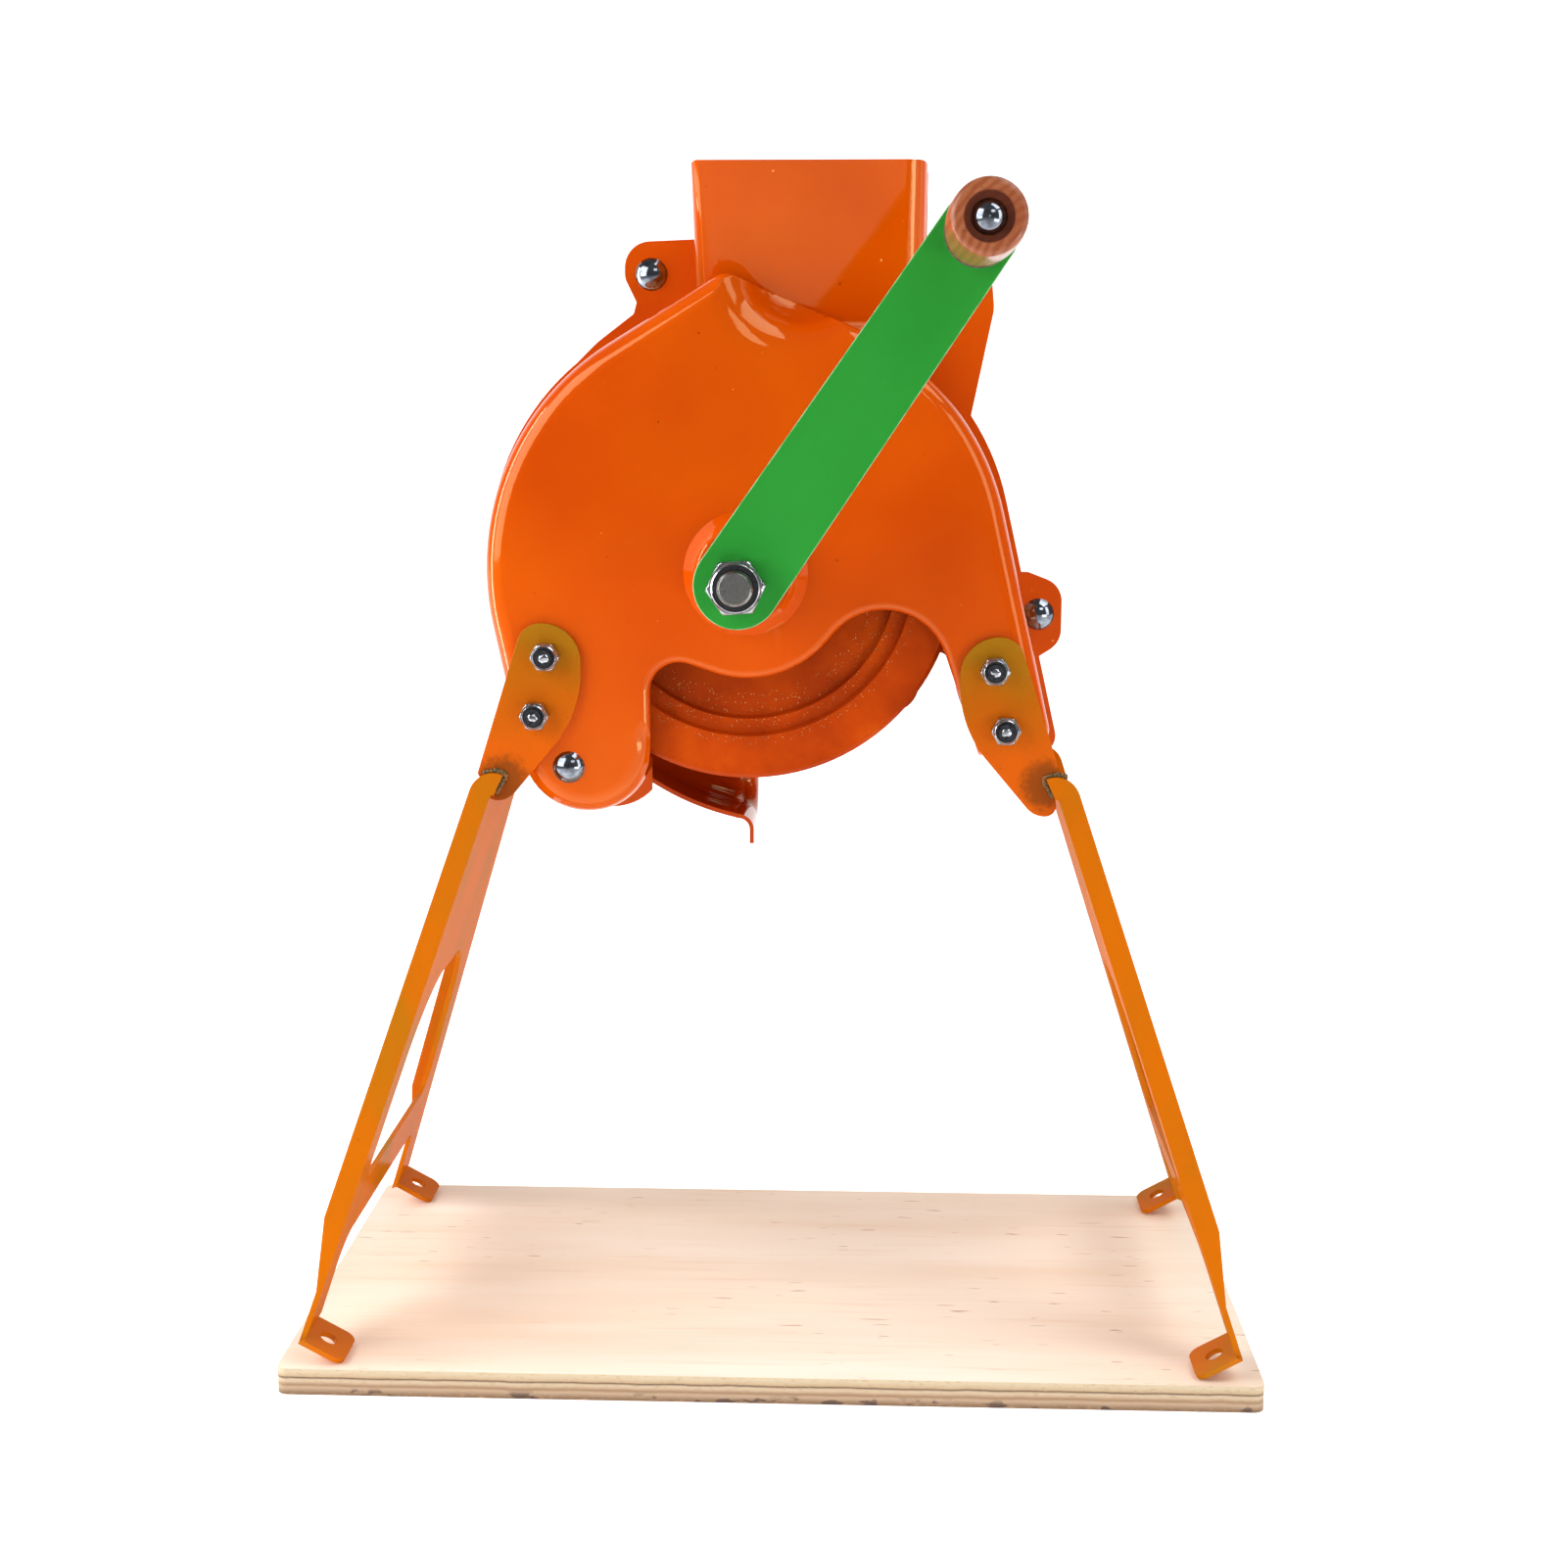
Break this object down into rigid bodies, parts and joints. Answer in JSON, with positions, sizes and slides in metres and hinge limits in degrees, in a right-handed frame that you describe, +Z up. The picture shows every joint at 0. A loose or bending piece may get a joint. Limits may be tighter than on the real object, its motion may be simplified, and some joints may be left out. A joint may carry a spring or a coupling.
{
  "type": "manual corn sheller",
  "caption": "Hand-cranked corn sheller: pressed housing with a chute, toothed disc and sprung plate, on bent sheet legs over a plywood board.",
  "frame": {"origin": "middle of the underside of the plywood board", "axes": "+X to the sheller's right seen from the crank side, +Y to the back, +Z up"},
  "size_m": [0.36, 0.2428, 0.4439],
  "materials": {
    "orange_paint": "gloss",
    "ochre_paint": "satin",
    "disc_paint": "satin, rough",
    "green_paint": "satin",
    "bright_zinc": "bright",
    "bare_steel": "satin",
    "spring_steel": "satin",
    "nut_insert": "matte",
    "varnished_wood": "varnished",
    "plywood": "raw birch plywood"
  },
  "bodies": {
    "housing": {"base_board": "plywood", "left_leg_frame": "ochre_paint", "right_leg_frame": "ochre_paint", "front_left_bracket": "ochre_paint", "front_right_bracket": "ochre_paint", "rear_left_bracket": "ochre_paint", "rear_right_bracket": "ochre_paint", "front_shell": "orange_paint", "rear_shell": "orange_paint", "front_bush": "orange_paint", "rear_bush": "bare_steel", "ear_rivets": "bright_zinc", "lower_stay_rivet": "bright_zinc", "lower_stay_tube": "bare_steel", "bracket_bolts": "bare_steel", "bracket_nuts": "bright_zinc", "bracket_nut_inserts": "nut_insert", "plate_hinge_pin": "bare_steel", "pressure_spring": "spring_steel"},
    "crank": {"main_shaft": "bare_steel", "toothed_disc": "disc_paint", "disc_hub": "disc_paint", "disc_pin": "bare_steel", "front_thrust_washer": "bare_steel", "rear_washer": "bare_steel", "rear_split_pin": "bare_steel", "crank_arm": "green_paint", "crank_nut": "bright_zinc", "crank_nut_insert": "nut_insert", "handle_rivet": "bright_zinc", "handle_washer": "bare_steel"},
    "handle": {"wooden_handle": "varnished_wood"},
    "pressure_plate": {"pressure_plate": "orange_paint", "tension_stud": "bare_steel", "stud_washer": "bright_zinc"},
    "wing_nut": {"wing_nut": "bright_zinc"}
  },
  "joints": [
    {"name": "crank_spin", "type": "hinge", "parent": "housing", "child": "crank", "pos_m": [-0.0103, 0, 0.2964], "axis": [0, 1, 0], "continuous": true},
    {"name": "handle_spin", "type": "hinge", "parent": "crank", "child": "handle", "pos_m": [0.07081, -0.118, 0.41441], "axis": [0, 1, 0], "continuous": true},
    {"name": "pressure_plate_swing", "type": "hinge", "parent": "housing", "child": "pressure_plate", "pos_m": [0.0272, 0.04, 0.3704], "axis": [1, 0, 0], "range_deg": [0, 6], "stiffness_Nm_per_rad": 9, "springref_deg": -2.86, "deforming": ["pressure_spring"]},
    {"name": "wing_nut_turn", "type": "hinge", "parent": "pressure_plate", "child": "wing_nut", "pos_m": [0.0277, 0.057, 0.3024], "axis": [0, 1, 0], "continuous": true}
  ]
}
